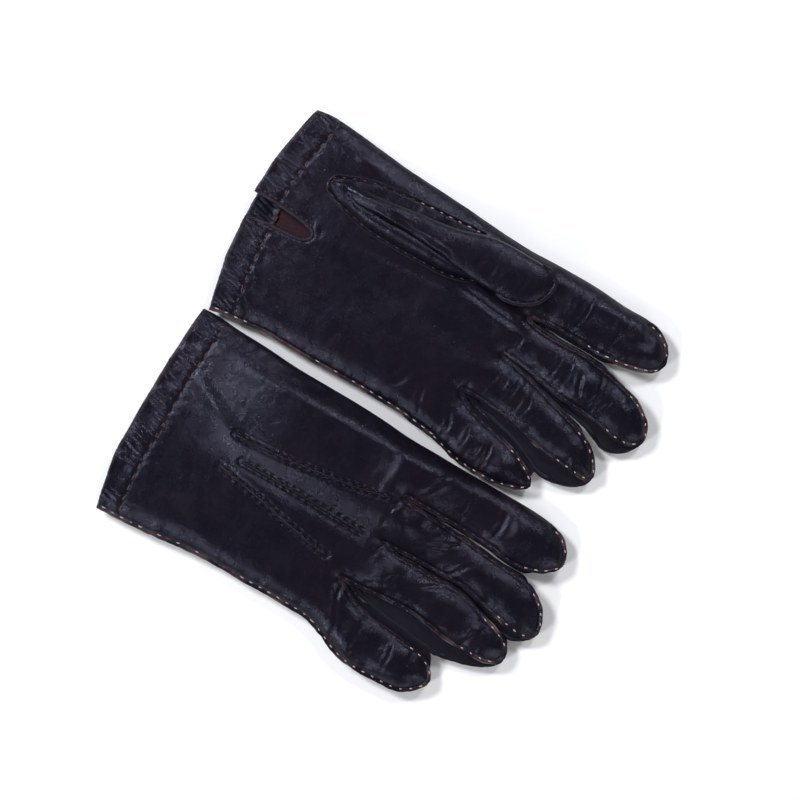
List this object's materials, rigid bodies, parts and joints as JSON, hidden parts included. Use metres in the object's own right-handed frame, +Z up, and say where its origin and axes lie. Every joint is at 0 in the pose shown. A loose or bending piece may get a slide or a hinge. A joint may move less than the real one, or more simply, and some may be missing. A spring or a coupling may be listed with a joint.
{
  "type": "pair of leather gloves",
  "caption": "Pair of hand-sewn leather dress gloves with fourchettes, stitched points, hemmed cuffs and a bound wrist slit, lying flat side by side.",
  "frame": {"origin": "centre of the pair's footprint on the surface they lie on", "axes": "+X from the cuffs to the fingertips, +Y towards the left glove, +Z up"},
  "size_m": [0.2507, 0.2542, 0.0216],
  "materials": {
    "glove_leather": "smooth dull-gloss aubergine black nappa",
    "fourchette_leather": "smooth dull-gloss",
    "hem_leather": "suede flesh side",
    "binding_leather": "smooth dull-gloss",
    "dark_thread": "waxed thread, reddish brown",
    "pale_thread": "waxed thread, pale"
  },
  "bodies": {
    "left_hand": {"left_trank_palm": "glove_leather", "left_trank_back": "glove_leather", "left_hem_facing": "hem_leather", "left_vent_binding": "binding_leather", "left_point_welts": "glove_leather", "left_hem_stitches": "dark_thread", "left_point_stitches": "dark_thread", "left_side_seam_stitches": "pale_thread", "left_thumb_seam_stitches": "pale_thread", "left_thumb_base": "glove_leather"},
    "left_thumb_lower_part": {"left_thumb_lower": "glove_leather"},
    "left_thumb_tip_part": {"left_thumb_tip": "glove_leather"},
    "left_index_lower_part": {"left_index_lower": "glove_leather", "left_index_lower_fourchettes": "fourchette_leather"},
    "left_index_tip_part": {"left_index_tip": "glove_leather", "left_index_tip_fourchettes": "fourchette_leather"},
    "left_middle_lower_part": {"left_middle_lower": "glove_leather", "left_middle_lower_fourchettes": "fourchette_leather"},
    "left_middle_tip_part": {"left_middle_tip": "glove_leather", "left_middle_tip_fourchettes": "fourchette_leather"},
    "left_ring_lower_part": {"left_ring_lower": "glove_leather", "left_ring_lower_fourchettes": "fourchette_leather"},
    "left_ring_tip_part": {"left_ring_tip": "glove_leather", "left_ring_tip_fourchettes": "fourchette_leather"},
    "left_little_lower_part": {"left_little_lower": "glove_leather", "left_little_lower_fourchettes": "fourchette_leather"},
    "left_little_tip_part": {"left_little_tip": "glove_leather", "left_little_tip_fourchettes": "fourchette_leather"},
    "right_hand": {"right_trank_palm": "glove_leather", "right_trank_back": "glove_leather", "right_hem_facing": "hem_leather", "right_vent_binding": "binding_leather", "right_point_welts": "glove_leather", "right_hem_stitches": "dark_thread", "right_point_stitches": "dark_thread", "right_side_seam_stitches": "pale_thread", "right_thumb_seam_stitches": "pale_thread", "right_thumb_base": "glove_leather"},
    "right_thumb_lower_part": {"right_thumb_lower": "glove_leather"},
    "right_thumb_tip_part": {"right_thumb_tip": "glove_leather"},
    "right_index_lower_part": {"right_index_lower": "glove_leather", "right_index_lower_fourchettes": "fourchette_leather"},
    "right_index_tip_part": {"right_index_tip": "glove_leather", "right_index_tip_fourchettes": "fourchette_leather"},
    "right_middle_lower_part": {"right_middle_lower": "glove_leather", "right_middle_lower_fourchettes": "fourchette_leather"},
    "right_middle_tip_part": {"right_middle_tip": "glove_leather", "right_middle_tip_fourchettes": "fourchette_leather"},
    "right_ring_lower_part": {"right_ring_lower": "glove_leather", "right_ring_lower_fourchettes": "fourchette_leather"},
    "right_ring_tip_part": {"right_ring_tip": "glove_leather", "right_ring_tip_fourchettes": "fourchette_leather"},
    "right_little_lower_part": {"right_little_lower": "glove_leather", "right_little_lower_fourchettes": "fourchette_leather"},
    "right_little_tip_part": {"right_little_tip": "glove_leather", "right_little_tip_fourchettes": "fourchette_leather"}
  },
  "joints": [
    {"name": "left_index_knuckle", "type": "hinge", "parent": "left_hand", "child": "left_index_lower_part", "pos_m": [0.043, 0.102, 0.012], "axis": [0, -1, 0], "range_deg": [0, 75]},
    {"name": "left_index_middle_joint", "type": "hinge", "parent": "left_index_lower_part", "child": "left_index_tip_part", "pos_m": [0.078, 0.101, 0.012], "axis": [0, -1, 0], "range_deg": [0, 85]},
    {"name": "left_middle_knuckle", "type": "hinge", "parent": "left_hand", "child": "left_middle_lower_part", "pos_m": [0.038, 0.072, 0.012], "axis": [0, -1, 0], "range_deg": [0, 75]},
    {"name": "left_middle_middle_joint", "type": "hinge", "parent": "left_middle_lower_part", "child": "left_middle_tip_part", "pos_m": [0.08, 0.066, 0.012], "axis": [0, -1, 0], "range_deg": [0, 85]},
    {"name": "left_ring_knuckle", "type": "hinge", "parent": "left_hand", "child": "left_ring_lower_part", "pos_m": [0.031, 0.046, 0.012], "axis": [0, -1, 0], "range_deg": [0, 75]},
    {"name": "left_ring_middle_joint", "type": "hinge", "parent": "left_ring_lower_part", "child": "left_ring_tip_part", "pos_m": [0.07, 0.037, 0.012], "axis": [0, -1, 0], "range_deg": [0, 85]},
    {"name": "left_little_knuckle", "type": "hinge", "parent": "left_hand", "child": "left_little_lower_part", "pos_m": [0.025, 0.016, 0.012], "axis": [0, -1, 0], "range_deg": [0, 75]},
    {"name": "left_little_middle_joint", "type": "hinge", "parent": "left_little_lower_part", "child": "left_little_tip_part", "pos_m": [0.052, 0.0095, 0.012], "axis": [0, -1, 0], "range_deg": [0, 85]},
    {"name": "left_thumb_root", "type": "hinge", "parent": "left_hand", "child": "left_thumb_lower_part", "pos_m": [-0.008, 0.098, 0.0215], "axis": [0, -1, 0], "range_deg": [0, 60]},
    {"name": "left_thumb_joint", "type": "hinge", "parent": "left_thumb_lower_part", "child": "left_thumb_tip_part", "pos_m": [0.018, 0.0995, 0.0215], "axis": [0, -1, 0], "range_deg": [0, 45]},
    {"name": "right_index_knuckle", "type": "hinge", "parent": "right_hand", "child": "right_index_lower_part", "pos_m": [0.03, -0.0185, 0.0074], "axis": [0, 1, 0], "range_deg": [0, 75]},
    {"name": "right_index_middle_joint", "type": "hinge", "parent": "right_index_lower_part", "child": "right_index_tip_part", "pos_m": [0.072, -0.0193, 0], "axis": [0, 1, 0], "range_deg": [0, 85]},
    {"name": "right_middle_knuckle", "type": "hinge", "parent": "right_hand", "child": "right_middle_lower_part", "pos_m": [0.03, -0.047, 0.0055], "axis": [0, 1, 0], "range_deg": [0, 75]},
    {"name": "right_middle_middle_joint", "type": "hinge", "parent": "right_middle_lower_part", "child": "right_middle_tip_part", "pos_m": [0.077, -0.0495, 0], "axis": [0, 1, 0], "range_deg": [0, 85]},
    {"name": "right_ring_knuckle", "type": "hinge", "parent": "right_hand", "child": "right_ring_lower_part", "pos_m": [0.028, -0.076, 0], "axis": [0, 1, 0], "range_deg": [0, 75]},
    {"name": "right_ring_middle_joint", "type": "hinge", "parent": "right_ring_lower_part", "child": "right_ring_tip_part", "pos_m": [0.072, -0.081, 0], "axis": [0, 1, 0], "range_deg": [0, 85]},
    {"name": "right_little_knuckle", "type": "hinge", "parent": "right_hand", "child": "right_little_lower_part", "pos_m": [0.021, -0.105, 0], "axis": [0, 1, 0], "range_deg": [0, 75]},
    {"name": "right_little_middle_joint", "type": "hinge", "parent": "right_little_lower_part", "child": "right_little_tip_part", "pos_m": [0.05, -0.1135, 0], "axis": [0, 1, 0], "range_deg": [0, 85]},
    {"name": "right_thumb_root", "type": "hinge", "parent": "right_hand", "child": "right_thumb_lower_part", "pos_m": [-0.022, -0.024, 0], "axis": [0, 1, 0], "range_deg": [0, 60]},
    {"name": "right_thumb_joint", "type": "hinge", "parent": "right_thumb_lower_part", "child": "right_thumb_tip_part", "pos_m": [0.003, -0.0225, 0], "axis": [0, 1, 0], "range_deg": [0, 45]},
    {"name": "right_glove_pick_up", "type": "slide", "parent": "left_hand", "child": "right_hand", "axis": [0, 0, 1], "range_m": [0, 0.25]}
  ]
}
